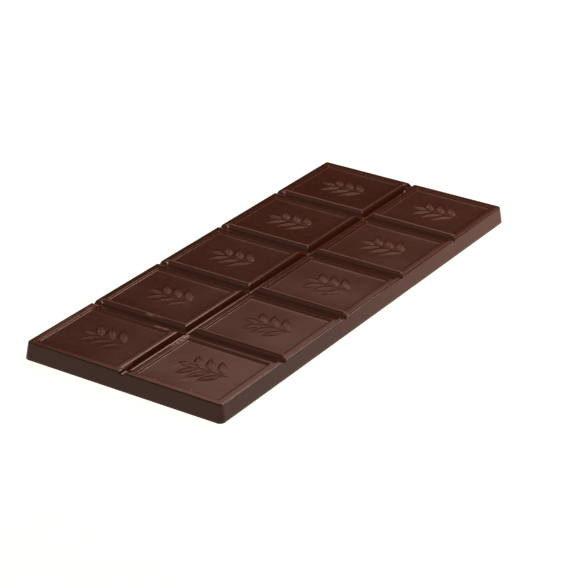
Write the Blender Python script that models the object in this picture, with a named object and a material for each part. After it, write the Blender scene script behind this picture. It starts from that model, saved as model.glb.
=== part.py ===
"""A dark chocolate bar of ten break-off squares, cast in one piece and lying with its moulded side up.

Metres, +Z up. The origin is the middle of the flat underside, X runs along the bar and Y across it.
The bar starts as a block with draft on its walls. Grooves, their shallow mouths at the edge, the
sunk panel of each square and a few chips are then cut out of it, and a low leaf sprig, a plain
ornament, is raised in the middle of each panel.
"""

import math

import bmesh
import bpy
from mathutils import Matrix, Vector

# Driving dimensions of the whole bar.
BAR_LENGTH = 0.180
BAR_WIDTH = 0.076
BAR_HEIGHT = 0.0062
DRAFT = 0.00105
CORNER_RADIUS = 0.0016
TOP_EDGE_RADIUS = 0.0004
BASE_EDGE_RADIUS = 0.0003
SQUARES_ALONG = 5
SQUARES_ACROSS = 2

# The grooves that the bar breaks along: 45 degree sides and a narrow flat floor.
GROOVE_WIDTH = 0.0039
GROOVE_FLOOR = 0.0003
GROOVE_DEPTH = 0.0018
MOUTH_WIDTH = 0.0024
MOUTH_DEPTH = 0.0010

# The frame round each square. It is wider along the bar's edge than beside a groove.
RIM_WIDTH = 0.0024
FRAME_WIDTH = 0.0018
STEP_WIDTH = 0.0005
PANEL_DEPTH = 0.00045

# The sprig in each panel: a stem across the bar with pairs of leaves and one leaf at its tip.
SPRIG_LENGTH = 0.0190
LEAF_PAIRS = 3
LEAF_PITCH = 0.0045
LEAF_ANGLE = math.radians(52)
LEAF_LENGTH = 0.0090
LEAF_WIDTH = 0.0032
LEAF_RISE = 0.00032
LEAF_TO_STEM = 0.00045
STEM_WIDTH = 0.0004
STEM_RISE = 0.00025

# Chips broken out of the groove's edge near the first crossing, as (x, y) from the crossing.
CHIP_SIZE = Vector((0.0011, 0.0007, 0.0007))
CHIPS = ((-0.0040, -0.0022), (-0.0066, -0.0021), (-0.0098, -0.0020))

CUTTER_CLEARANCE = 0.001
DARK_CHOCOLATE = (0.028, 0.0085, 0.0045, 1.0)

TOP_LENGTH = BAR_LENGTH - 2 * DRAFT
TOP_WIDTH = BAR_WIDTH - 2 * DRAFT
GROOVE_SLOPE = (GROOVE_WIDTH - GROOVE_FLOOR) / 2 / GROOVE_DEPTH


def clear_scene():
    for old in list(bpy.data.objects):
        bpy.data.objects.remove(old)


def add_tapered_block(bm, low_size, high_size, low_z, high_z, centre=(0, 0)):
    """A block with a rectangular floor and top of different sizes, centred on (x, y)."""
    block = bmesh.ops.create_cube(bm, size=1.0)
    for vert in block["verts"]:
        upper = vert.co.z > 0
        length, width = high_size if upper else low_size
        vert.co.x = vert.co.x * length + centre[0]
        vert.co.y = vert.co.y * width + centre[1]
        vert.co.z = high_z if upper else low_z
    return block["verts"]


def object_from(name, bm):
    bmesh.ops.recalc_face_normals(bm, faces=bm.faces)
    mesh = bpy.data.meshes.new(name)
    bm.to_mesh(mesh)
    bm.free()
    made = bpy.data.objects.new(name, mesh)
    bpy.context.scene.collection.objects.link(made)
    return made


def helper_from(name, bm):
    """A cutter, or a shape to be joined on: it is never a piece of its own."""
    helper = object_from(name, bm)
    helper.hide_render = True
    helper.display_type = "WIRE"
    return helper


def pitch_of(length, count):
    """The distance from one square to the next, when grooves lie between them only."""
    return (length + GROOVE_WIDTH) / count


def groove_centres(length, count):
    pitch = pitch_of(length, count)
    return [-length / 2 + k * pitch - GROOVE_WIDTH / 2 for k in range(1, count)]


def panel_spans(length, count):
    """The low and high side of each square's sunk panel, measured at the top of its step."""
    pitch = pitch_of(length, count)
    spans = []
    for k in range(count):
        low = -length / 2 + k * pitch
        high = low + pitch - GROOVE_WIDTH
        low_frame = RIM_WIDTH if k == 0 else FRAME_WIDTH
        high_frame = RIM_WIDTH if k == count - 1 else FRAME_WIDTH
        spans.append((low + low_frame, high - high_frame))
    return spans


def panels():
    """The centre and the size of every panel, at the top of its step."""
    for x_low, x_high in panel_spans(TOP_LENGTH, SQUARES_ALONG):
        for y_low, y_high in panel_spans(TOP_WIDTH, SQUARES_ACROSS):
            centre = ((x_low + x_high) / 2, (y_low + y_high) / 2)
            yield centre, (x_high - x_low, y_high - y_low)


def block_with_draft():
    bm = bmesh.new()
    add_tapered_block(bm, (BAR_LENGTH, BAR_WIDTH), (TOP_LENGTH, TOP_WIDTH), 0.0, BAR_HEIGHT)
    corners = [e for e in bm.edges if abs(e.verts[0].co.z - e.verts[1].co.z) > BAR_HEIGHT / 2]
    bmesh.ops.bevel(
        bm, geom=corners, offset=CORNER_RADIUS, segments=4, profile=0.5, affect="EDGES", material=-1
    )
    for height, radius, segments in (
        (BAR_HEIGHT, TOP_EDGE_RADIUS, 2),
        (0.0, BASE_EDGE_RADIUS, 1),
    ):
        outline = [
            e for e in bm.edges if all(math.isclose(v.co.z, height, abs_tol=1e-6) for v in e.verts)
        ]
        bmesh.ops.bevel(
            bm, geom=outline, offset=radius, segments=segments, profile=0.5, affect="EDGES", material=-1
        )
    return object_from("chocolate_bar", bm)


def add_groove(bm, centre, along_x, length, width, depth):
    """A groove's cutter. Its sides and ends keep the same slope up past the top of the bar."""
    flare = (width - GROOVE_FLOOR) / depth * (depth + CUTTER_CLEARANCE)
    low = (length - (width - GROOVE_FLOOR), GROOVE_FLOOR)
    high = (low[0] + flare, low[1] + flare)
    if not along_x:
        low, high = low[::-1], high[::-1]
    middle = (0, centre) if along_x else (centre, 0)
    floor_z = BAR_HEIGHT - depth
    add_tapered_block(bm, low, high, floor_z, BAR_HEIGHT + CUTTER_CLEARANCE, middle)


def groove_cutters():
    """One helper for the grooves of each direction, and one for their mouths through the rim."""
    runs = (
        ("long", True, groove_centres(TOP_WIDTH, SQUARES_ACROSS), TOP_LENGTH, BAR_LENGTH),
        ("cross", False, groove_centres(TOP_LENGTH, SQUARES_ALONG), TOP_WIDTH, BAR_WIDTH),
    )
    cutters = []
    for name, along_x, centres, top_length, base_length in runs:
        grooves = bmesh.new()
        mouths = bmesh.new()
        for centre in centres:
            add_groove(grooves, centre, along_x, top_length - 2 * RIM_WIDTH, GROOVE_WIDTH, GROOVE_DEPTH)
            add_groove(mouths, centre, along_x, base_length + 2 * MOUTH_WIDTH, MOUTH_WIDTH, MOUTH_DEPTH)
        cutters.append(helper_from(name + "_groove_cutter", grooves))
        cutters.append(helper_from(name + "_mouth_cutter", mouths))
    return cutters


def panel_cutter():
    bm = bmesh.new()
    flare = STEP_WIDTH / PANEL_DEPTH * CUTTER_CLEARANCE
    for centre, (length, width) in panels():
        low = (length - 2 * STEP_WIDTH, width - 2 * STEP_WIDTH)
        high = (length + 2 * flare, width + 2 * flare)
        add_tapered_block(
            bm, low, high, BAR_HEIGHT - PANEL_DEPTH, BAR_HEIGHT + CUTTER_CLEARANCE, centre
        )
    return helper_from("panel_cutter", bm)


def chip_cutter():
    bm = bmesh.new()
    crossing_x = groove_centres(TOP_LENGTH, SQUARES_ALONG)[0]
    crossing_y = groove_centres(TOP_WIDTH, SQUARES_ACROSS)[0]
    for number, (dx, dy) in enumerate(CHIPS):
        place = Matrix.Translation((crossing_x + dx, crossing_y + dy, BAR_HEIGHT))
        turn = Matrix.Rotation(number * 1.1, 4, "X")
        size = Matrix.Diagonal((*CHIP_SIZE, 1.0))
        bmesh.ops.create_icosphere(bm, subdivisions=1, radius=1.0, matrix=place @ size @ turn)
    return helper_from("chip_cutter", bm)


def add_leaf(bm, place, length):
    """A pointed lens lying along +X from its base: a ball whose width shrinks towards both ends."""
    ball = bmesh.ops.create_uvsphere(bm, u_segments=8, v_segments=6, radius=1.0)
    bmesh.ops.rotate(bm, verts=ball["verts"], cent=(0, 0, 0), matrix=Matrix.Rotation(math.pi / 2, 3, "Y"))
    for vert in ball["verts"]:
        vert.co.y *= math.sqrt(max(0.0, 1.0 - vert.co.x**2))
    size = Matrix.Diagonal((length / 2, LEAF_WIDTH / 2, LEAF_RISE, 1.0))
    from_base = Matrix.Translation((length / 2, 0, 0))
    bmesh.ops.transform(bm, verts=ball["verts"], matrix=place @ from_base @ size)


def add_sprig(bm, centre, floor_z):
    """The stem runs along +Y, the leaves lean towards its tip, and every piece is clear of the next."""
    root_y = -SPRIG_LENGTH / 2
    tip_length = LEAF_LENGTH * 0.65
    stem_length = SPRIG_LENGTH - tip_length - LEAF_TO_STEM
    middle = Matrix.Translation((centre[0], centre[1], floor_z))
    add_tapered_block(
        bm,
        (2 * STEM_WIDTH, stem_length + STEM_WIDTH),
        (STEM_WIDTH / 2, stem_length),
        floor_z - STEM_RISE,
        floor_z + STEM_RISE,
        (centre[0], centre[1] + root_y + stem_length / 2),
    )
    for pair in range(LEAF_PAIRS):
        length = LEAF_LENGTH * (1.0 - 0.06 * pair)
        base_y = root_y + stem_length - (LEAF_PAIRS - pair) * LEAF_PITCH + 0.6 * LEAF_PITCH
        for side in (-1, 1):
            base = Matrix.Translation((side * LEAF_TO_STEM, base_y, 0))
            lean = Matrix.Rotation(math.pi / 2 - side * LEAF_ANGLE, 4, "Z")
            add_leaf(bm, middle @ base @ lean, length)
    tip = Matrix.Translation((0, root_y + SPRIG_LENGTH - tip_length, 0))
    add_leaf(bm, middle @ tip @ Matrix.Rotation(math.pi / 2, 4, "Z"), tip_length)


def sprigs():
    bm = bmesh.new()
    for centre, _ in panels():
        add_sprig(bm, centre, BAR_HEIGHT - PANEL_DEPTH)
    return helper_from("sprigs", bm)


def add_boolean(target, helper, operation):
    boolean = target.modifiers.new(helper.name, "BOOLEAN")
    boolean.operation = operation
    boolean.object = helper
    boolean.solver = "EXACT"


def dark_chocolate():
    """Tempered dark chocolate from a smooth mould: a near-black brown with a satin gloss."""
    material = bpy.data.materials.new("dark_chocolate")
    material.use_nodes = True
    shader = material.node_tree.nodes["Principled BSDF"]
    shader.inputs["Base Color"].default_value = DARK_CHOCOLATE
    shader.inputs["Roughness"].default_value = 0.28
    shader.inputs["Metallic"].default_value = 0.0
    return material


def main():
    clear_scene()
    bar = block_with_draft()
    for cutter in (*groove_cutters(), panel_cutter(), chip_cutter()):
        add_boolean(bar, cutter, "DIFFERENCE")
    add_boolean(bar, sprigs(), "UNION")
    bar.data.materials.append(dark_chocolate())


main()
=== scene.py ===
# %% [markdown]
# # A bar of dark chocolate
#
# The solid model of this bar already exists: ten squares, break grooves between them and a sprig on
# each square. This lesson loads it for its true size, casts a finer bar in the same place, and gives
# it the look of tempered dark chocolate under a soft studio light. Blender works in metres here, so
# small sizes are written as a number times `MM`.

# %% Load the solid bar and keep its box
import math

import bmesh
import bpy
import numpy as np
from mathutils import Matrix, Vector, noise


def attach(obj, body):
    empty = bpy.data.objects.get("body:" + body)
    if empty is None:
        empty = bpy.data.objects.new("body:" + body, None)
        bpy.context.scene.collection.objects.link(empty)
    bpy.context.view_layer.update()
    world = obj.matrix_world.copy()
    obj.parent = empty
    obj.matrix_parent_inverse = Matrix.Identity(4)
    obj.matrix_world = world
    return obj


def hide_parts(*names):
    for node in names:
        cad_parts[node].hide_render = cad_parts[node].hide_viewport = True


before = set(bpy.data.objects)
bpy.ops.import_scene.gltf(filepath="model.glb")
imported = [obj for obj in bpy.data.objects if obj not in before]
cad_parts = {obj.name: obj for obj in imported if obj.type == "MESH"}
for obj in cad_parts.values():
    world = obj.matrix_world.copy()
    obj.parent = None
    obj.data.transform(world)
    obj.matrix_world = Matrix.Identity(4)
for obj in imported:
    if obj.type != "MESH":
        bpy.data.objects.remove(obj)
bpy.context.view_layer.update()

MM = 0.001

# %% [markdown]
# ## The sizes of the moulding
#
# A chocolate mould is cut with tapering tools, so every wall leans and every groove is a V. The sizes
# below are those of the solid bar, except that the step down to its panels is a little steeper and
# deeper and the grooves have a rounder, wider floor. The bar could be measured from its mesh instead,
# but a mould maker thinks in these few numbers, and everything else follows from them.

# %% Name the sizes
BAR_LENGTH = 180 * MM
BAR_WIDTH = 76 * MM
BAR_HEIGHT = 6.2 * MM
DRAFT = 1.05 * MM
TOP_EDGE_RADIUS = 0.4 * MM
BASE_EDGE_RADIUS = 0.3 * MM
SQUARES_ALONG = 5
SQUARES_ACROSS = 2
GROOVE_WIDTH = 3.9 * MM
GROOVE_FLOOR = 0.6 * MM
GROOVE_DEPTH = 1.8 * MM
MOUTH_WIDTH = 2.4 * MM
MOUTH_DEPTH = 1.0 * MM
RIM_WIDTH = 2.4 * MM
FRAME_WIDTH = 1.8 * MM
STEP_WIDTH = 0.36 * MM
PANEL_DEPTH = 0.50 * MM

TOP_LENGTH = BAR_LENGTH - 2 * DRAFT
TOP_WIDTH = BAR_WIDTH - 2 * DRAFT


def groove_centres(length, count):
    pitch = (length + GROOVE_WIDTH) / count
    return [-length / 2 + k * pitch - GROOVE_WIDTH / 2 for k in range(1, count)]


def panel_spans(length, count):
    """The low and the high side of each square's sunk panel, at the top of its step."""
    pitch = (length + GROOVE_WIDTH) / count
    spans = []
    for k in range(count):
        low = -length / 2 + k * pitch
        high = low + pitch - GROOVE_WIDTH
        low_frame = RIM_WIDTH if k == 0 else FRAME_WIDTH
        high_frame = RIM_WIDTH if k == count - 1 else FRAME_WIDTH
        spans.append((low + low_frame, high - high_frame))
    return spans


GROOVES_X = groove_centres(TOP_LENGTH, SQUARES_ALONG)
GROOVES_Y = groove_centres(TOP_WIDTH, SQUARES_ACROSS)
PANELS_X = panel_spans(TOP_LENGTH, SQUARES_ALONG)
PANELS_Y = panel_spans(TOP_WIDTH, SQUARES_ACROSS)
print("cross grooves at", [round(x / MM, 1) for x in GROOVES_X], "mm")

# %% [markdown]
# ## Soft corners
#
# Chocolate shrinks a little as it sets and copies a polished mould, so no edge on it is truly sharp.
# A Bevel modifier could round the edges, but it would stumble where grooves, mouths and steps meet.
# Here the relief is a depth worked out at each point instead. Where two depths meet, `soft_larger`
# takes the larger one and rounds the crease between them, as the radius of a cutter would.

# %% Blend depths with a round


def soft_larger(a, b, round_over):
    share = np.clip(0.5 + 0.5 * (a - b) / round_over, 0, 1)
    return b + (a - b) * share + round_over * share * (1 - share)


def soft_smaller(a, b, round_over):
    return -soft_larger(-a, -b, round_over)


print("where two depths are equal, the blend adds", soft_larger(0.0, 0.0, 1.0), "of the round")

# %% [markdown]
# ## Notches and sunk panels
#
# A break groove is a V notch with a narrow floor. A sunk panel is a shallow tray with steep sides and
# small rounded corners. Both are written as the distance to their own edge times a slope, and then
# held at their floor. The step at a panel's far side is stretched, so that it is wider and softer.

# %% Shape a notch and a panel
RIM_ROUND = 0.55 * MM
FLOOR_ROUND = 0.55 * MM
STEP_EDGE_ROUND = 0.04 * MM
STEP_FOOT_ROUND = 0.33 * MM
PANEL_CORNER = 0.45 * MM
FAR_STEP_STRETCH = 2.0


def notch(across, along, reach, width, depth, rim_round):
    """How deep a V notch is at each point. Its sides and ends slope alike, and its floor is narrow."""
    slope = depth / ((width - GROOVE_FLOOR) / 2)
    side = (width / 2 - np.abs(across)) * slope
    end = (reach - np.abs(along)) * slope
    open_depth = soft_smaller(side, end, RIM_ROUND)
    return soft_smaller(soft_larger(open_depth, 0.0, rim_round), depth, FLOOR_ROUND)


def sunk_panel(x, y, span_x, span_y):
    """How deep a sunk panel is at each point. The step at its +X side is wider and softer."""
    half_x, half_y = (span_x[1] - span_x[0]) / 2, (span_y[1] - span_y[0]) / 2
    stretch = np.where(x > sum(span_x) / 2, FAR_STEP_STRETCH, 1.0)
    over_x = (np.abs(x - sum(span_x) / 2) - half_x) / stretch + PANEL_CORNER
    over_y = np.abs(y - sum(span_y) / 2) - (half_y - PANEL_CORNER)
    corner = np.hypot(np.maximum(over_x, 0), np.maximum(over_y, 0))
    inside = PANEL_CORNER - corner - np.minimum(np.maximum(over_x, over_y), 0)
    sunk = soft_larger(inside * PANEL_DEPTH / STEP_WIDTH, 0.0, STEP_EDGE_ROUND)
    return soft_smaller(sunk, PANEL_DEPTH, STEP_FOOT_ROUND)


groove_middle = notch(0.0, 0.0, TOP_WIDTH / 2, GROOVE_WIDTH, GROOVE_DEPTH, RIM_ROUND)
print("the middle of a groove is", round(float(groove_middle) / MM, 2), "mm deep")

# %% [markdown]
# ## Wear on the edges
#
# The bar has been broken beside its first groove crossing, and a pale band is painted along one rim
# to stand for reflected light. The chips are small pits with rough walls. They could be cut with
# Booleans, but as part of the same depth they keep one clean surface. Each row below is one chip: its
# place along and across from the first crossing of the grooves, its half length, half width and depth,
# all in millimetres. Broken chocolate has a finer grain than this, but it is drawn this coarse so that
# it shows.

# %% Place the chips
CROSSING = (GROOVES_X[0], GROOVES_Y[0])
CHIPS = (
    (-2.2, -2.1, 1.1, 0.9, 0.60),
    (-4.2, -2.1, 1.3, 1.0, 0.55),
    (-6.3, -2.2, 1.2, 0.9, 0.60),
    (-8.4, -2.0, 1.2, 0.9, 0.55),
    (-10.4, -2.0, 1.1, 0.8, 0.45),
)
CHIP_GRAIN = 0.60 * MM
CHIP_ROUGHNESS = 0.9
CHIP_FLOOR = 0.8
CHIPPED_REACH_X = 14 * MM
CHIPPED_REACH_Y = 5 * MM
NOISE_LAYER = 0.37


def grain_at(x, y, size):
    """A smooth random value from -1 to 1 at each point, the same on every run.

    The noise is zero at the corners of its own grid, so it is read between two layers of them.
    """
    places = (Vector((px / size, py / size, NOISE_LAYER)) for px, py in zip(x, y))
    return np.array([noise.noise(place) for place in places])


def chips(x, y):
    """How deep the broken pits are at each point."""
    near_x = np.abs(x - CROSSING[0]) < CHIPPED_REACH_X
    near_y = np.abs(y - CROSSING[1]) < CHIPPED_REACH_Y
    near = near_x & near_y
    rough = np.zeros_like(x)
    rough[near] = grain_at(x[near], y[near], CHIP_GRAIN)
    deepest = np.zeros_like(x)
    for along, across, half_length, half_width, depth in CHIPS:
        off_x = (x - CROSSING[0] - along * MM) / (half_length * MM)
        off_y = (y - CROSSING[1] - across * MM) / (half_width * MM)
        bowl = 1 - np.hypot(off_x, off_y) + CHIP_ROUGHNESS * rough
        deepest = np.maximum(deepest, depth * MM * np.clip(bowl, 0, CHIP_FLOOR))
    return deepest


print("chips:", len(CHIPS), "beside the crossing at", round(CROSSING[0] / MM, 1), "mm")

# %% [markdown]
# ## The depth of the whole relief
#
# Panels, grooves and their shallow mouths are all cut into one flat top, so the depth at any point is
# simply the deepest of them. The chips are taken away after that. The outer rim falls a little and
# each panel sinks a little, and a long soft swell of a few hundredths of a millimetre is added,
# because a cast top is never as flat as a pane of glass and its reflections show that.

# %% Add up the relief
SWELL_SIZE = 16 * MM
SWELL_DEPTH = 0.03 * MM
PANEL_SINK = 0.03 * MM
RIM_DROOP = 0.06 * MM
CROSS_RIM_ROUND = 1.1 * MM
MEETING_ROUND = 0.055 * MM


def sink(x, y, span_x, span_y):
    """A panel sinks a little inside its edges, as the chocolate there shrinks when it sets."""
    u = (x - sum(span_x) / 2) / ((span_x[1] - span_x[0]) / 2)
    v = (y - sum(span_y) / 2) / ((span_y[1] - span_y[0]) / 2)
    return PANEL_SINK * np.clip(1 - u**4, 0, 1) * np.clip(1 - v**4, 0, 1)


def droop(x, y):
    """The outer rim falls a little towards its edge."""
    inset = np.minimum(TOP_LENGTH / 2 - np.abs(x), TOP_WIDTH / 2 - np.abs(y))
    return RIM_DROOP * np.clip(1 - inset / RIM_WIDTH, 0, 1) ** 2


def with_groove(depth, across, along, half_top, rim_round):
    """Cuts a groove, which stops at the rim, and its shallow mouths, which run out through the rim."""
    groove = notch(across, along, half_top - RIM_WIDTH, GROOVE_WIDTH, GROOVE_DEPTH, rim_round)
    mouth = notch(across, along, BAR_LENGTH, MOUTH_WIDTH, MOUTH_DEPTH, RIM_ROUND)
    return soft_larger(depth, np.maximum(groove, mouth), MEETING_ROUND)


def moulded_depth(x, y):
    """The depth of the relief without its chips."""
    depth = droop(x, y)
    for span_x in PANELS_X:
        for span_y in PANELS_Y:
            panel = sunk_panel(x, y, span_x, span_y) + sink(x, y, span_x, span_y)
            depth = np.maximum(depth, panel)
    for centre in GROOVES_X:
        depth = with_groove(depth, x - centre, y, TOP_WIDTH / 2, CROSS_RIM_ROUND)
    for centre in GROOVES_Y:
        depth = with_groove(depth, y - centre, x, TOP_LENGTH / 2, RIM_ROUND)
    return depth + SWELL_DEPTH * (1 + grain_at(x, y, SWELL_SIZE))


def top_height(x, y):
    return BAR_HEIGHT - moulded_depth(x, y) - chips(x, y)


panel_middle = moulded_depth(np.array([sum(PANELS_X[0]) / 2]), np.array([sum(PANELS_Y[0]) / 2]))
print("the middle of the first panel is", round(float(panel_middle[0]) / MM, 2), "mm deep")

# %% [markdown]
# ## Where the lines of the mesh run
#
# An even net fine enough for a groove's rounded edge would need millions of faces. A modeller puts
# edge loops only where the shape turns. The rulers below do the same: close lines at each groove,
# mouth, step and chip, and wide gaps across the flat panels.

# %% Rule the lines
FINE = 0.14 * MM
STEP_GAP = 0.12 * MM
STEP_REACH = 1.2 * MM
WORN_GAP = 0.15 * MM
COARSE = 1.2 * MM
SHEET_CORNER = 0.6 * MM
SHEET_LENGTH = TOP_LENGTH - 2 * TOP_EDGE_RADIUS
SHEET_WIDTH = TOP_WIDTH - 2 * TOP_EDGE_RADIUS
WORN_X = (CROSSING[0] - 12 * MM, CROSSING[0] - 1.5 * MM)
WORN_Y = (CROSSING[1] - 3.6 * MM, CROSSING[1] - 1.2 * MM)


def close_lines(start, end, gap=FINE):
    return list(np.linspace(start, end, max(2, round((end - start) / gap) + 1)))


def ruler(half, grooves, panels, worn):
    marks = close_lines(-half, -half + SHEET_CORNER) + close_lines(half - SHEET_CORNER, half)
    for centre in grooves:
        marks += close_lines(centre - 2 * FINE, centre + 2 * FINE)
        for edge in (MOUTH_WIDTH / 2, GROOVE_WIDTH / 2):
            for side in (-1, 1):
                middle = centre + side * edge
                marks += close_lines(middle - RIM_ROUND, middle + RIM_ROUND)
    for low, high in panels:
        marks += close_lines(low - STEP_GAP, low + STEP_REACH, STEP_GAP)
        marks += close_lines(high - STEP_REACH, high + STEP_GAP, STEP_GAP)
    marks += close_lines(*worn, WORN_GAP)
    marks.sort()
    lines = [marks[0]]
    for mark in marks[1:]:
        gap = mark - lines[-1]
        if gap < STEP_GAP / 2 and mark < half:
            continue
        steps = math.ceil(gap / COARSE)
        lines += [lines[-1] + gap * k / steps for k in range(1, steps + 1)]
    return np.array(lines)


LINES_X = ruler(SHEET_LENGTH / 2, GROOVES_X, PANELS_X, WORN_X)
LINES_Y = ruler(SHEET_WIDTH / 2, GROOVES_Y, PANELS_Y, WORN_Y)
print("lines along and across:", len(LINES_X), len(LINES_Y))

# %% [markdown]
# ## Cast the top
#
# `create_grid` gives a flat even net. Its lines slide to the ruler's marks, its four corners are
# drawn in to arcs, and each point drops by the depth of the relief.

# %% Slide, round and sink the net


def round_outline(x, y, half_x, half_y, radius, grow=0.0):
    """Draws a net's square corners in to arcs. Growth keeps the arcs' centres, as an offset does."""
    core_x, core_y = half_x - radius, half_y - radius
    a = np.clip((np.abs(x) - core_x) / radius, 0, 1)
    b = np.clip((np.abs(y) - core_y) / radius, 0, 1)
    out_x = a * np.sqrt(1 - b**2 / 2) * (radius + grow)
    out_y = b * np.sqrt(1 - a**2 / 2) * (radius + grow)
    rounded_x = np.sign(x) * (np.minimum(np.abs(x), core_x) + out_x)
    rounded_y = np.sign(y) * (np.minimum(np.abs(y), core_y) + out_y)
    return rounded_x, rounded_y


def cast_top(bm):
    """The moulded face as one sheet. Returns the flat place of every point on its outline."""
    columns, rows = len(LINES_X), len(LINES_Y)
    bmesh.ops.create_grid(bm, x_segments=columns - 1, y_segments=rows - 1, size=1.0)
    even = np.array([vert.co[:2] for vert in bm.verts])
    column = np.rint((even[:, 0] + 1) / 2 * (columns - 1)).astype(int)
    row = np.rint((even[:, 1] + 1) / 2 * (rows - 1)).astype(int)
    flat_x, flat_y = LINES_X[column], LINES_Y[row]
    x, y = round_outline(flat_x, flat_y, SHEET_LENGTH / 2, SHEET_WIDTH / 2, SHEET_CORNER)
    z = top_height(x, y)
    for vert, place in zip(bm.verts, np.column_stack((x, y, z))):
        vert.co = place
    return {vert: (fx, fy) for vert, fx, fy in zip(bm.verts, flat_x, flat_y) if vert.is_boundary}


bar_mesh = bmesh.new()
sheet_outline = cast_top(bar_mesh)
print("top sheet:", len(bar_mesh.faces), "faces,", len(sheet_outline), "points on its outline")

# %% [markdown]
# ## Plan the walls
#
# The rest of the bar hangs from the edge of that sheet, in steps: round the top edge, down the leaning
# wall, round the foot and in under the bar. Every step is the same outline grown by some amount, so
# the walls meet the corners cleanly.

# %% List the steps of the wall
TOP_ARC_STEPS = 4
WALL_STEPS = 6
BASE_ARC_STEPS = 3
UNDERSIDE_MARGIN = 2.0 * MM
LEAN = math.atan2(DRAFT, BAR_HEIGHT)


def wall_steps(edge_height):
    """Pairs of outward growth and height, from the sheet's edge down to the flat underside."""
    steps = []
    turn = math.pi / 2 - LEAN
    arc_foot = edge_height - TOP_EDGE_RADIUS * (1 - math.cos(turn))
    wall_line = TOP_EDGE_RADIUS + DRAFT * (BAR_HEIGHT - arc_foot) / BAR_HEIGHT
    arc_centre = wall_line - TOP_EDGE_RADIUS * math.sin(turn)
    for k in range(1, TOP_ARC_STEPS + 1):
        angle = turn * k / TOP_ARC_STEPS
        drop = TOP_EDGE_RADIUS * (1 - math.cos(angle))
        steps.append((arc_centre + TOP_EDGE_RADIUS * math.sin(angle), edge_height - drop))
    foot = BASE_EDGE_RADIUS
    for k in range(1, WALL_STEPS + 1):
        height = arc_foot + (foot - arc_foot) * k / WALL_STEPS
        steps.append((TOP_EDGE_RADIUS + DRAFT * (1 - height / BAR_HEIGHT), height))
    last = steps[-1][0]
    for k in range(1, BASE_ARC_STEPS + 1):
        angle = math.pi / 2 * k / BASE_ARC_STEPS
        steps.append((last - foot * (1 - math.cos(angle)), foot * (1 - math.sin(angle))))
    steps.append((last - foot - UNDERSIDE_MARGIN, 0.0))
    return steps


STEP_COUNT = len(wall_steps(BAR_HEIGHT))
print("wall steps:", STEP_COUNT)

# %% [markdown]
# ## Draw down the walls
#
# `extrude_edge_only` repeats the edge once for each step. Its new points start where the old ones are,
# so each is found by its place and then moved. The walls swell by a few hundredths of a millimetre,
# always inwards, so that they aren't dead flat. Last, `edgeloop_fill` closes the underside.

# %% Extrude the walls and close the underside
WALL_SWELL = 0.05 * MM
WALL_SWELL_SIZE = 9 * MM
PLACE_DIGITS = 4


def place_key(vert):
    """A point's place along and across, rounded so that two points there give the same key."""
    return round(vert.co.x / MM, PLACE_DIGITS), round(vert.co.y / MM, PLACE_DIGITS)


def draw_down_walls(bm, outline):
    edges = [edge for edge in bm.edges if edge.is_boundary]
    tops = {vert: wall_steps(vert.co.z) for vert in outline}
    for level in range(STEP_COUNT):
        extruded = bmesh.ops.extrude_edge_only(bm, edges=edges)
        fresh = [item for item in extruded["geom"] if isinstance(item, bmesh.types.BMVert)]
        places = {place_key(vert): vert for vert in fresh}
        next_outline, next_tops = {}, {}
        for old, (flat_x, flat_y) in outline.items():
            new = places[place_key(old)]
            grow, height = tops[old][level]
            swell = WALL_SWELL * noise.noise(Vector((flat_x, flat_y, height)) / WALL_SWELL_SIZE)
            if height > 0:
                grow -= abs(swell)
            x, y = round_outline(
                flat_x, flat_y, SHEET_LENGTH / 2, SHEET_WIDTH / 2, SHEET_CORNER, grow
            )
            next_outline[new], next_tops[new] = (flat_x, flat_y), tops[old]
            new.co = (x, y, height)
        outline, tops = next_outline, next_tops
        edges = [item for item in extruded["geom"] if isinstance(item, bmesh.types.BMEdge)]
    bmesh.ops.edgeloop_fill(bm, edges=edges)


def object_from(name, bm):
    mesh = bpy.data.meshes.new(name)
    bmesh.ops.recalc_face_normals(bm, faces=bm.faces)
    bm.to_mesh(mesh)
    bm.free()
    mesh.shade_smooth()
    made = bpy.data.objects.new(name, mesh)
    bpy.context.scene.collection.objects.link(made)
    return made


draw_down_walls(bar_mesh, sheet_outline)
open_edges = sum(not edge.is_manifold for edge in bar_mesh.edges)
cast_bar = object_from("cast_bar", bar_mesh)
print("cast bar:", len(cast_bar.data.polygons), "faces,", open_edges, "open edges")

# %% [markdown]
# ## Leaves for the sprig
#
# A plain leaf sprig is raised on each panel. A leaf is a low pointed dome with a midrib and side
# veins. It could be a bump in the material, but then it would vanish in a side view. A ball from
# `create_uvsphere`, laid on its side, already has rings across the leaf and lines along it, so only
# its points have to move. Its lower half stays below the panel, which keeps the leaf closed.

# %% Shape a leaf
LEAF_WIDTH = 3.2 * MM
LEAF_RISE = 0.10 * MM
LEAF_SINK = 0.25 * MM
LEAF_WIDEST = 0.85
LEAF_ROUNDNESS = 0.9
VEIN_DEPTH = 0.035 * MM
VEIN_SPACING = 1.05 * MM
VEIN_LEAN = 0.9
MIDRIB_DEPTH = 0.056 * MM
MIDRIB_WIDTH = 0.16
LEAF_RINGS = 44
LEAF_LINES = 32
POLE = 1e-4


def leaf_half_width(along):
    """The leaf's width as a share, at a place from 0 at its base to 1 at its tip."""
    if not 0 < along < 1:
        return 0.0
    return math.sin(math.pi * along**LEAF_WIDEST) ** LEAF_ROUNDNESS


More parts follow.
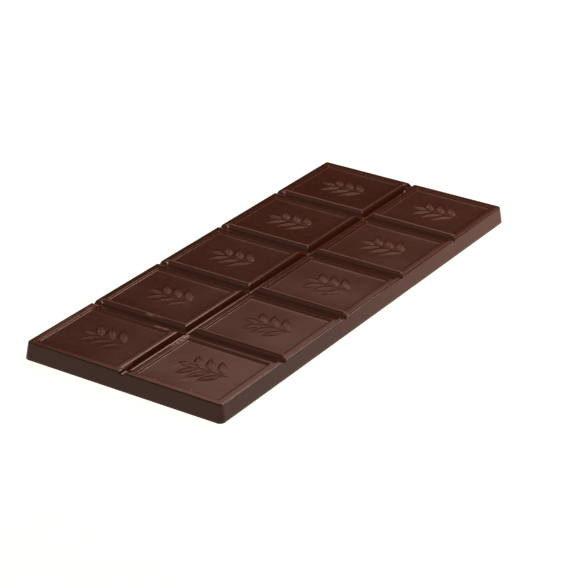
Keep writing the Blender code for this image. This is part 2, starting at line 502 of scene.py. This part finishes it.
def add_leaf(bm, place, length, bend):
    ball = bmesh.ops.create_uvsphere(
        bm, u_segments=LEAF_LINES, v_segments=LEAF_RINGS, radius=1.0,
        matrix=Matrix.Rotation(math.pi / 2, 4, "Y"),
    )
    for vert in ball["verts"]:
        along = (vert.co.x + 1) / 2
        ring = math.sqrt(max(0.0, 1 - vert.co.x**2))
        across = vert.co.y / ring if ring > POLE else 0.0
        upper = vert.co.z / ring if ring > POLE else 0.0
        half = leaf_half_width(along)
        fullness = half**LEAF_ROUNDNESS
        phase = (along * length - VEIN_LEAN * abs(across) * half * LEAF_WIDTH / 2) / VEIN_SPACING
        veins = VEIN_DEPTH * math.cos(2 * math.pi * phase) * math.sqrt(abs(across)) * max(upper, 0)
        midrib = MIDRIB_DEPTH * math.exp(-((across / MIDRIB_WIDTH) ** 2))
        dome = LEAF_RISE * max(upper, 0.0) ** 2
        height = (dome + veins - midrib) * fullness if upper > 0 else LEAF_SINK * upper * fullness
        sideways = half * across * LEAF_WIDTH / 2 + bend * math.sin(math.pi * along) * length
        vert.co = place @ Vector((along * length, sideways, height))


print("a leaf is widest at", round(0.5 ** (1 / LEAF_WIDEST), 2), "of its length")

# %% [markdown]
# ## Join the leaves to a stem
#
# The stem is one more ball, drawn out long and thin. Three pairs of leaves lean towards its tip, each
# pair a little shorter than the one below, and a smaller leaf ends it.

# %% Put a sprig together
SPRIG_LENGTH = 19.0 * MM
STEM_WIDTH = 0.8 * MM
STEM_RISE = 0.11 * MM
STEM_LINES = 12
STEM_RINGS = 24
TIP_LENGTH = 5.85 * MM
LEAF_PAIRS = 3
LEAF_PITCH = 4.5 * MM
TOP_PAIR_DROP = 1.8 * MM
LEAF_ANGLE = math.radians(52)
LEAF_LENGTH = 9.0 * MM
LEAF_SHRINK = 0.06
LEAF_TO_STEM = 0.45 * MM
LEAF_BEND = 0.05


def add_stem(bm, start_y, length):
    laid = Matrix.Rotation(math.pi / 2, 4, "X")
    size = Matrix.Diagonal((STEM_WIDTH / 2, length / 2, STEM_RISE, 1))
    place = Matrix.Translation((0, start_y + length / 2, 0))
    bmesh.ops.create_uvsphere(
        bm, u_segments=STEM_LINES, v_segments=STEM_RINGS, radius=1.0, matrix=place @ size @ laid
    )


def add_sprig(bm):
    """A sprig about the origin, with its stem along +Y."""
    root_y = -SPRIG_LENGTH / 2
    stem_length = SPRIG_LENGTH - TIP_LENGTH - LEAF_TO_STEM
    add_stem(bm, root_y, stem_length)
    top_pair_y = root_y + stem_length - TOP_PAIR_DROP
    for pair in range(LEAF_PAIRS):
        length = LEAF_LENGTH * (1 - LEAF_SHRINK * pair)
        base_y = top_pair_y - (LEAF_PAIRS - 1 - pair) * LEAF_PITCH
        for side in (-1, 1):
            base = Matrix.Translation((side * LEAF_TO_STEM, base_y, 0))
            lean = Matrix.Rotation(math.pi / 2 - side * LEAF_ANGLE, 4, "Z")
            add_leaf(bm, base @ lean, length, side * LEAF_BEND)
    tip = Matrix.Translation((0, root_y + SPRIG_LENGTH - TIP_LENGTH, 0))
    add_leaf(bm, tip @ Matrix.Rotation(math.pi / 2, 4, "Z"), TIP_LENGTH, 0.0)


print("leaves on a sprig:", 2 * LEAF_PAIRS + 1)

# %% [markdown]
# ## Set a sprig on every panel
#
# The stem runs across the bar. Every point is lifted by the height of the panel just there, so the
# sprig follows the panel's swell as a cast relief does. How far a point is raised above the panel is
# stored on the mesh, because raised places are painted paler.

# %% Build ten sprigs
FLUSH = 0.3


def store(piece, name, values):
    """Keeps one number for each point of a mesh, where its material can read it."""
    layer = piece.data.attributes.new(name, "FLOAT", "POINT")
    layer.data.foreach_set("value", values.astype(np.float32))


def sprig_on(centre, number):
    bm = bmesh.new()
    add_sprig(bm)
    bmesh.ops.translate(bm, verts=bm.verts, vec=(*centre, 0))
    places = np.array([vert.co for vert in bm.verts])
    ground = BAR_HEIGHT - moulded_depth(places[:, 0], places[:, 1])
    for vert, lift in zip(bm.verts, ground):
        vert.co.z += lift
    raised = np.clip((places[:, 2] / LEAF_RISE - FLUSH) / (1 - FLUSH), 0, 1)
    sprig = object_from(f"sprig_{number}", bm)
    store(sprig, "raised", raised)
    return sprig


sprigs = []
for span_x in PANELS_X:
    for span_y in PANELS_Y:
        centre = (sum(span_x) / 2, sum(span_y) / 2)
        sprigs.append(sprig_on(centre, len(sprigs) + 1))
print("sprigs:", len(sprigs), "of", len(sprigs[0].data.polygons), "faces")

# %% [markdown]
# ## Crumbs
#
# Four crumbs of broken chocolate stick to the two squares of the near end. A crumb is an angular lump,
# so each one is a small `create_icosphere` whose points are pushed in and out by a noise. They are
# flattened and sit low, so that none stands higher than the solid bar. Each row below is a crumb's
# place along and across the bar and its radius, in millimetres.

# %% Drop the crumbs
CRUMBS = (
    (-85.9, -10.4, 0.26),
    (-85.4, -23.8, 0.22),
    (-84.9, -11.6, 0.16),
    (-59.6, -4.6, 0.18),
)
CRUMB_ROUGHNESS = 0.35
CRUMB_LUMPS = 1.7
CRUMB_FLATNESS = 0.55
CRUMB_LIFT = 0.2

crumb_mesh = bmesh.new()
for x, y, radius in CRUMBS:
    ball = bmesh.ops.create_icosphere(crumb_mesh, subdivisions=2, radius=1.0)
    ground = BAR_HEIGHT - float(moulded_depth(np.array([x * MM]), np.array([y * MM]))[0])
    for vert in ball["verts"]:
        size = 1 + CRUMB_ROUGHNESS * noise.noise(vert.co * CRUMB_LUMPS + Vector((x, y, 0)))
        vert.co.z *= CRUMB_FLATNESS
        vert.co = Vector((x, y, 0)) * MM + vert.co * size * radius * MM
        vert.co.z += ground + CRUMB_LIFT * radius * MM
crumbs = object_from("crumbs", crumb_mesh)
pieces = (cast_bar, crumbs, *sprigs)
print("crumbs:", len(CRUMBS), "of", len(crumbs.data.polygons) // len(CRUMBS), "faces")

# %% [markdown]
# ## Rubbed and broken places, and painted highlights
#
# A wrapper rubs the high rims of a bar dull and pale, and chocolate that has broken shows a lighter,
# rougher inside. Most of the pale soft spots below are painted highlights, though: glints on the rims
# of the first cross groove and beside the chips, highlights at the near end of the long groove's rim
# and at the foot of the step along the +Y rim, and a pale band on that rim that stands for reflected
# light. Only the spot on the near short edge is wear from a wrapper. The raised parts of each sprig
# are painted paler too, and broken places paler still than broken chocolate is, partly a painted
# glint of their facets. The material needs to know where. A painted image would do it, but numbers
# stored on the points of the mesh are simpler and stay with it. Each row below is a soft spot: its
# place along and across the bar, its half length and half width in millimetres, and its strength.

# %% Mark where the bar is worn, painted with highlights and broken
RUB_AND_HIGHLIGHT_SPOTS = (
    # A pale band on the +Y rim of the near squares, painted to stand for reflected light.
    (-73.5, 35.2, 15.5, 1.4, 0.26),
    # A painted highlight at the foot of the step along that rim.
    (-84.0, 34.2, 3.4, 0.4, 0.40),
    # A painted highlight on the rim at the near end of the long groove.
    (-84.2, 2.0, 3.6, 0.8, 0.50),
    # A painted highlight on the +Y rim beside the first cross groove's mouth.
    (-58.8, 34.9, 2.4, 1.2, 0.50),
    # Painted glints on the far rim of the first cross groove.
    (-51.8, 16.0, 0.7, 1.6, 1.0),
    (-51.6, 12.6, 0.5, 1.8, 0.7),
    # Painted glints on its near rim.
    (-57.6, 8.6, 0.7, 1.7, 0.7),
    (-57.4, 5.9, 0.5, 1.3, 0.8),
    # Painted glints on the long groove's rim beside the chips.
    (-61.0, -2.8, 6.0, 0.9, 0.30),
    # Scuffs worn by a wrapper on the near short edge.
    (-87.4, -10.0, 0.9, 4.0, 0.20),
)
BROKEN_DEPTH = 0.08 * MM
RAISED_PALENESS = 0.20
HALF_BROKEN = 0.5


def store_wear_and_highlights(piece):
    """Stores each point's share of wear and painted highlight, and how broken it is. Returns the
    largest share and a count.
    """
    places = np.empty(len(piece.data.vertices) * 3)
    piece.data.vertices.foreach_get("co", places)
    places = places.reshape(-1, 3)
    along, across = places[:, 0] / MM, places[:, 1] / MM
    rub_and_highlight = np.zeros(len(places))
    for x, y, half_length, half_width, strength in RUB_AND_HIGHLIGHT_SPOTS:
        off = ((along - x) / half_length) ** 2 + ((across - y) / half_width) ** 2
        rub_and_highlight = np.maximum(rub_and_highlight, strength * np.exp(-(off**2)))
    high = places[:, 2] > BAR_HEIGHT - MOUTH_DEPTH
    if piece in sprigs:
        raised = np.empty(len(places))
        piece.data.attributes["raised"].data.foreach_get("value", raised)
        # Raised parts of a sprig are painted paler.
        rub_and_highlight = np.maximum(rub_and_highlight, RAISED_PALENESS * raised)
    store(piece, "rub_and_highlight", rub_and_highlight * high)
    broken = np.clip(chips(places[:, 0], places[:, 1]) / BROKEN_DEPTH, 0, 1) * high
    # Crumbs take the pale broken colour all over; chips take it where their pits are.
    store(piece, "broken", np.ones(len(places)) if piece is crumbs else broken)
    return float(rub_and_highlight.max()), int((broken > HALF_BROKEN).sum())


wear = {piece.name: store_wear_and_highlights(piece) for piece in pieces}
strongest, broken_points = wear["cast_bar"]
print("strongest rubbing:", round(strongest, 2), "broken points:", broken_points)

# %% [markdown]
# ## Tools for materials
#
# Colours are picked as sRGB hex values, as in any paint program, and turned to Blender's linear
# numbers by one function. One more function adds a node with its settings and its links and returns
# one of its outputs, so that the next node can be linked to it. A Mix node keeps its colour sockets
# behind those for plain values, so they are reached by number.

# %% Colour and node helpers
MIX_A = 6
MIX_B = 7
MIX_RESULT = 2


def linear(hex_colour):
    """An sRGB hex value as linear red, green, blue and alpha."""
    channels = [int(hex_colour[k : k + 2], 16) / 255 for k in (1, 3, 5)]
    bent = [c / 12.92 if c <= 0.04045 else ((c + 0.055) / 1.055) ** 2.4 for c in channels]
    return (*bent, 1.0)


def add_node(tree, kind, settings, inputs, output=0):
    """Adds a node and returns one output. An input takes a value or the output it is linked from."""
    made = tree.nodes.new(kind)
    for name, value in settings.items():
        setattr(made, name, value)
    for key, value in inputs.items():
        if isinstance(value, bpy.types.NodeSocket):
            tree.links.new(value, made.inputs[key])
        else:
            made.inputs[key].default_value = value
    return made.outputs[output]


def per_metre(size):
    """A texture's scale for features of this real size."""
    return 1.0 / size


print("middle grey in linear light:", round(linear("#808080")[0], 3))

# %% [markdown]
# ## Tempered dark chocolate, cast in a smooth mould
#
# Cocoa solids make it a near-black brown with a little red in it. The cocoa butter around them was
# tempered and set against polished plastic, so the surface has a satin gloss, not a mirror: fine
# unevenness spreads the reflection. Cocoa butter's IOR is about 1.46. Where a wrapper wore the bar, the
# skin is broken into fine grains that scatter light, so it is paler, greyer and duller there. The same
# pale colour paints the highlights and glints that rims and step feet are given.
#
# Four noises do this: soft clouds and a mottle in the colour, the grain of broken places, and a slight
# orange peel on the surface. Each is given by the real size of its features, its layers of detail and
# their roughness. The grain is really finer, but is drawn this coarse so that it shows.

# %% Pick the colours and patterns of the chocolate
CHOCOLATE = linear("#3f1e11")
CHOCOLATE_DEEP = linear("#361a0f")
# Places worn by a wrapper and the painted highlights and glints share this pale colour.
RUB_AND_HIGHLIGHT_PALE = linear("#80605a")
# Broken places: a lighter inside, painted paler still as a glint of their facets. Crumbs wear it all
# over.
BROKEN_AND_GLINT_PALE = linear("#c8b8b8")
SCRATCHED = linear("#a08078")
COCOA_BUTTER_IOR = 1.46
GLOSS_LEVEL = 0.22
SMOOTHEST = 0.09
MOTTLED_DULL = 0.07
RUBBED_DULL = 0.25
CLOUD = (14 * MM, 2.0, 0.5)
MOTTLE = (1.6 * MM, 4.0, 0.6)
GRAIN = (0.35 * MM, 2.0, 0.6)
PEEL = (3.0 * MM, 3.0, 0.55)
PEEL_DEPTH = 0.006 * MM
CLOUD_SHARE = 0.7
MOTTLE_SHARE = 0.3
RUB_AND_HIGHLIGHT_EVENLY = 0.5
RUB_AND_HIGHLIGHT_UNEVENLY = 0.9
GRAIN_CONTRAST = 2.2
GRAIN_LOSS = -0.45
GRAIN_BUMP = 0.05
print("chocolate in linear light:", [round(c, 3) for c in CHOCOLATE[:3]])

# %% [markdown]
# ## Scratches
#
# Something was once dragged across the first square and left a fan of thin pale arcs. Each is part of
# a ring: its distance from a centre is nearly its radius, and it fades away from its middle. They are
# drawn a little wide, with soft sides, so that they show. Each row below is a ring's centre and radius,
# the middle of the arc, half its length, all in millimetres, and its strength.

# %% Draw the scratches
PANEL_HEIGHT = BAR_HEIGHT - PANEL_DEPTH
SCRATCHES = (
    ((-78.2, -20.8), 10.45, (-73.4, -11.6), 5.0, 0.60),
    ((-79.0, -22.6), 10.6, (-73.8, -13.4), 3.6, 0.30),
    ((-85.5, -32.0), 17.5, (-76.4, -17.0), 4.6, 0.55),
    ((-84.6, -32.5), 16.0, (-75.9, -19.0), 3.8, 0.30),
    ((-93.0, -27.0), 14.8, (-80.1, -19.2), 3.4, 0.40),
    ((-96.0, -30.0), 18.6, (-81.7, -18.0), 2.6, 0.25),
)
SCRATCH_WIDTH = 0.46 * MM
FADE_RISE = 2


def scratches(tree, coords):
    """How strongly a scratch shows at each point. Each is at its full strength over half its length."""
    strongest = 0.0
    for centre, radius, middle, half_length, strength in SCRATCHES:
        reach, away = (
            add_node(
                tree, "ShaderNodeVectorMath", {"operation": "DISTANCE"},
                {0: coords, 1: (x * MM, y * MM, PANEL_HEIGHT)}, "Value",
            )
            for x, y in (centre, middle)
        )
        off = add_node(tree, "ShaderNodeMath", {"operation": "SUBTRACT"}, {0: reach, 1: radius * MM})
        off = add_node(tree, "ShaderNodeMath", {"operation": "ABSOLUTE"}, {0: off})
        line = add_node(
            tree, "ShaderNodeMapRange", {},
            {"Value": off, "From Min": SCRATCH_WIDTH / 2, "From Max": 0.0},
        )
        fade = add_node(
            tree, "ShaderNodeMapRange", {},
            {"Value": away, "From Min": half_length * MM, "From Max": 0.0,
             "To Max": FADE_RISE * strength},
        )
        fade = add_node(tree, "ShaderNodeMath", {"operation": "MINIMUM"}, {0: fade, 1: strength})
        shown = add_node(tree, "ShaderNodeMath", {"operation": "MULTIPLY"}, {0: line, 1: fade})
        strongest = add_node(
            tree, "ShaderNodeMath", {"operation": "MAXIMUM"}, {0: shown, 1: strongest}
        )
    return strongest


print("scratches:", len(SCRATCHES))

# %% [markdown]
# ## The finish, layer by layer
#
# The brown of the chocolate comes first. Worn places with the painted highlights, scratches and broken
# places with their partly painted glint are laid over it in that order, each with its own colour. The
# same three make the surface duller. IOR and specular level are the same all over, so they are set on
# the shader itself.

# %% Put the finish together


def layered_colour(tree, cloud, mottle, wear_and_highlight_layers):
    """The base colour: the brown of the chocolate with each layer of wear and painted highlight mixed
    over it.
    """
    shade = add_node(
        tree, "ShaderNodeMath", {"operation": "MULTIPLY"}, {0: mottle, 1: MOTTLE_SHARE}
    )
    shade = add_node(
        tree, "ShaderNodeMath", {"operation": "MULTIPLY_ADD"}, {0: cloud, 1: CLOUD_SHARE, 2: shade}
    )
    base = CHOCOLATE_DEEP
    for share, colour in ((shade, CHOCOLATE), *wear_and_highlight_layers):
        base = add_node(
            tree, "ShaderNodeMix", {"data_type": "RGBA"},
            {0: share, MIX_A: base, MIX_B: colour}, MIX_RESULT,
        )
    return base


def chocolate_material():
    material = bpy.data.materials.new("tempered_dark_chocolate_cast")
    material.use_nodes = True
    tree = material.node_tree
    shader = tree.nodes["Principled BSDF"]
    coords = add_node(tree, "ShaderNodeTexCoord", {}, {}, "Object")
    rub_and_highlight, broken = (
        add_node(tree, "ShaderNodeAttribute", {"attribute_name": name}, {}, "Fac")
        for name in ("rub_and_highlight", "broken")
    )
    cloud, mottle, grain, peel = (
        add_node(
            tree, "ShaderNodeTexNoise", {},
            {"Vector": coords, "Scale": per_metre(size), "Detail": detail, "Roughness": roughness},
        )
        for size, detail, roughness in (CLOUD, MOTTLE, GRAIN, PEEL)
    )
    uneven = add_node(
        tree, "ShaderNodeMath", {"operation": "MULTIPLY_ADD"},
        {0: mottle, 1: RUB_AND_HIGHLIGHT_UNEVENLY, 2: RUB_AND_HIGHLIGHT_EVENLY},
    )
    grainy = add_node(
        tree, "ShaderNodeMath", {"operation": "MULTIPLY_ADD"},
        {0: grain, 1: GRAIN_CONTRAST, 2: GRAIN_LOSS},
    )
    rub_and_highlight_share, broken_and_glint = (
        add_node(
            tree, "ShaderNodeMath", {"operation": "MULTIPLY", "use_clamp": True},
            {0: stored, 1: pattern},
        )
        for stored, pattern in ((rub_and_highlight, uneven), (broken, grainy))
    )
    scratched = scratches(tree, coords)
    wear_and_highlight_layers = ((rub_and_highlight_share, RUB_AND_HIGHLIGHT_PALE), (scratched, SCRATCHED), (broken_and_glint, BROKEN_AND_GLINT_PALE))
    tree.links.new(layered_colour(tree, cloud, mottle, wear_and_highlight_layers), shader.inputs["Base Color"])

    worn = add_node(tree, "ShaderNodeMath", {"operation": "ADD"}, {0: rub_and_highlight_share, 1: broken_and_glint})
    worn = add_node(tree, "ShaderNodeMath", {"operation": "ADD"}, {0: worn, 1: scratched})
    patchy = add_node(
        tree, "ShaderNodeMath", {"operation": "MULTIPLY_ADD"},
        {0: mottle, 1: MOTTLED_DULL, 2: SMOOTHEST},
    )
    dull = add_node(
        tree, "ShaderNodeMath", {"operation": "MULTIPLY_ADD"}, {0: worn, 1: RUBBED_DULL, 2: patchy}
    )
    tree.links.new(dull, shader.inputs["Roughness"])
    shader.inputs["IOR"].default_value = COCOA_BUTTER_IOR
    shader.inputs["Specular IOR Level"].default_value = GLOSS_LEVEL

    height = add_node(
        tree, "ShaderNodeMath", {"operation": "MULTIPLY_ADD"}, {0: grain, 1: GRAIN_BUMP, 2: peel}
    )
    bump = add_node(
        tree, "ShaderNodeBump", {}, {"Strength": 1.0, "Distance": PEEL_DEPTH, "Height": height},
        "Normal",
    )
    tree.links.new(bump, shader.inputs["Normal"])
    return material


chocolate = chocolate_material()
for piece in pieces:
    piece.data.materials.append(chocolate)
print("material:", chocolate.name, "with", len(chocolate.node_tree.nodes), "nodes")

# %% [markdown]
# ## Tell the frame what each piece is
#
# The fine bar, its sprigs and its crumbs ride on the one body of this model and stand for its one
# solid.

# %% Ride and replace
for piece in pieces:
    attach(piece, "root")
    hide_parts("chocolate_bar")
print("pieces that stand for the solid:", len(pieces))

# %% [markdown]
# ## The table
#
# The bar lies on a white light table, which glows as brightly as a lit page, so its shadow vanishes.
# One large disc with a matte glowing material is enough. It lies a hair below the bar, so that the two
# never share a plane.

# %% Lay the floor
FLOOR_RADIUS = 3.0
FLOOR_SEGMENTS = 96
FLOOR_GAP = 0.05 * MM
MILKY_SHEET = linear("#707070")
GLOW_WHITE = linear("#fffdf3")
TABLE_GLOW = 1.03


def light_table():
    bm = bmesh.new()
    bmesh.ops.create_circle(
        bm, cap_ends=True, segments=FLOOR_SEGMENTS, radius=FLOOR_RADIUS,
        matrix=Matrix.Translation((0, 0, -FLOOR_GAP)),
    )
    floor = object_from("light_table", bm)
    material = bpy.data.materials.new("matte_white_light_table")
    material.use_nodes = True
    shader = material.node_tree.nodes["Principled BSDF"]
    shader.inputs["Base Color"].default_value = MILKY_SHEET
    shader.inputs["Roughness"].default_value = 1.0
    shader.inputs["Specular IOR Level"].default_value = 0.0
    shader.inputs["Emission Color"].default_value = GLOW_WHITE
    shader.inputs["Emission Strength"].default_value = TABLE_GLOW
    floor.data.materials.append(material)
    return floor


floor = light_table()
print("floor:", floor.name, "of", 2 * FLOOR_RADIUS, "m across")

# %% [markdown]
# ## The room
#
# The room is almost dark, so that the chocolate looks as dark as it is. Three large soft glows break
# the dark: a warm one beyond the bar, which only its near end mirrors, and dimmer ones over the
# viewer's shoulder and at the left. A blind hides the upper part of the first one. A world is the
# plainest way to hang such glows, as it needs no lamp or screen. All the angles are in degrees.

# %% Light the room
ROOM_DARK = linear("#262422")
GLOWS = (
    {"turn": 20, "elevation": 55, "radius": 27.8, "edge": 2.8,
     "colour": "#ffcabb", "strength": 2.5, "blinded": True},
    {"turn": 185, "elevation": 65, "radius": 30, "edge": 25,
     "colour": "#ffdcc4", "strength": 0.7, "blinded": False},
    {"turn": 75, "elevation": 52, "radius": 12, "edge": 20,
     "colour": "#ffcdb0", "strength": 0.6, "blinded": False},
)
BLIND_EDGE = 32
BLIND_SOFTNESS = 2
STRAIGHT_UP = (0, 0, 1)


def towards(turn, elevation):
    """The direction at this turn from +X towards +Y and this height, in degrees."""
    turn, elevation = math.radians(turn), math.radians(elevation)
    flat = math.cos(elevation)
    return Vector((math.cos(turn) * flat, math.sin(turn) * flat, math.sin(elevation)))


def nearness(tree, direction, centre, full, none):
    """From 1 within `full` degrees of a direction to 0 beyond `none` degrees."""
    cosine = add_node(
        tree, "ShaderNodeVectorMath", {"operation": "DOT_PRODUCT"}, {0: direction, 1: centre}, "Value"
    )
    far, near = math.cos(math.radians(none)), math.cos(math.radians(full))
    return add_node(
        tree, "ShaderNodeMapRange", {"interpolation_type": "SMOOTHSTEP"},
        {"Value": cosine, "From Min": far, "From Max": near},
    )


world = bpy.data.worlds.new("dark_room")
world.use_nodes = True
room = world.node_tree
direction = add_node(room, "ShaderNodeTexCoord", {}, {}, "Generated")
blind_reach = 90 - BLIND_EDGE
blind = nearness(room, direction, STRAIGHT_UP, blind_reach - BLIND_SOFTNESS, blind_reach)
seen = add_node(room, "ShaderNodeMath", {"operation": "SUBTRACT"}, {0: 1.0, 1: blind})
light = ROOM_DARK
for glow in GLOWS:
    centre = towards(glow["turn"], glow["elevation"])
    share = nearness(room, direction, centre, glow["radius"], glow["radius"] + glow["edge"])
    if glow["blinded"]:
        share = add_node(room, "ShaderNodeMath", {"operation": "MULTIPLY"}, {0: share, 1: seen})
    share = add_node(
        room, "ShaderNodeMath", {"operation": "MULTIPLY"}, {0: share, 1: glow["strength"]}
    )
    light = add_node(
        room, "ShaderNodeMix", {"data_type": "RGBA", "blend_type": "ADD", "clamp_factor": False},
        {0: share, MIX_A: light, MIX_B: linear(glow["colour"])}, MIX_RESULT,
    )
room.links.new(light, room.nodes["Background"].inputs["Color"])
room.nodes["Background"].inputs["Strength"].default_value = 1.0
bpy.context.scene.world = world
print("glows in the room:", len(GLOWS))

# %% [markdown]
# ## The lamps
#
# Two lamps do the rest. A softbox stands beyond the bar, too high to be mirrored in its flat top, so
# that only the rounded edges of the near squares catch it. A small low card lights the long wall at
# the right.

# %% Hang the lamps
LAMPS = (
    {"name": "softbox", "aim": (0, 0, 0), "turn": 3, "elevation": 51.9, "distance": 1.1,
     "size": (0.66, 0.36), "watts": 7.2},
    {"name": "card", "aim": (0.08, -0.038, 0.003), "turn": -80, "elevation": 12, "distance": 0.14,
     "size": (0.12, 0.05), "watts": 0.34},
)
LAMP_WHITE = linear("#ffddcd")

for kind in LAMPS:
    lamp = bpy.data.lights.new(kind["name"], "AREA")
    lamp.shape = "RECTANGLE"
    lamp.size, lamp.size_y = kind["size"]
    lamp.energy = kind["watts"]
    lamp.color = LAMP_WHITE[:3]
    made = bpy.data.objects.new(kind["name"], lamp)
    away = towards(kind["turn"], kind["elevation"])
    made.location = Vector(kind["aim"]) + away * kind["distance"]
    made.rotation_euler = away.to_track_quat("Z", "Y").to_euler()
    made.visible_camera = False
    bpy.context.scene.collection.objects.link(made)
print("lamps:", [kind["name"] for kind in LAMPS])

# %% [markdown]
# ## The camera
#
# The bar is seen over its near short edge from a low angle, through a long lens. The place and the
# turns come from fitting a camera to the bar's own corners and grooves.

# %% Stand the camera
CAMERA_PLACE = (-0.55992, -0.36057, 0.32345)
CAMERA_TURN = math.radians(57.61)
CAMERA_DIP = math.radians(26.09)
CAMERA_ROLL = math.radians(0.867)
LENS_MM = 134.45
SENSOR_MM = 36.0
NEAREST_SEEN = 0.01

lens = bpy.data.cameras.new("camera")
lens.lens = LENS_MM
lens.sensor_width = SENSOR_MM
lens.clip_start = NEAREST_SEEN
camera = bpy.data.objects.new("camera", lens)
facing = Matrix.Rotation(-CAMERA_TURN, 4, "Z") @ Matrix.Rotation(math.pi / 2 - CAMERA_DIP, 4, "X")
camera.matrix_world = (
    Matrix.Translation(CAMERA_PLACE) @ facing @ Matrix.Rotation(CAMERA_ROLL, 4, "Z")
)
bpy.context.scene.collection.objects.link(camera)
bpy.context.scene.camera = camera
bpy.context.scene.view_settings.view_transform = "Standard"
print("camera:", round(camera.matrix_world.translation.length, 2), "m from the middle of the bar")
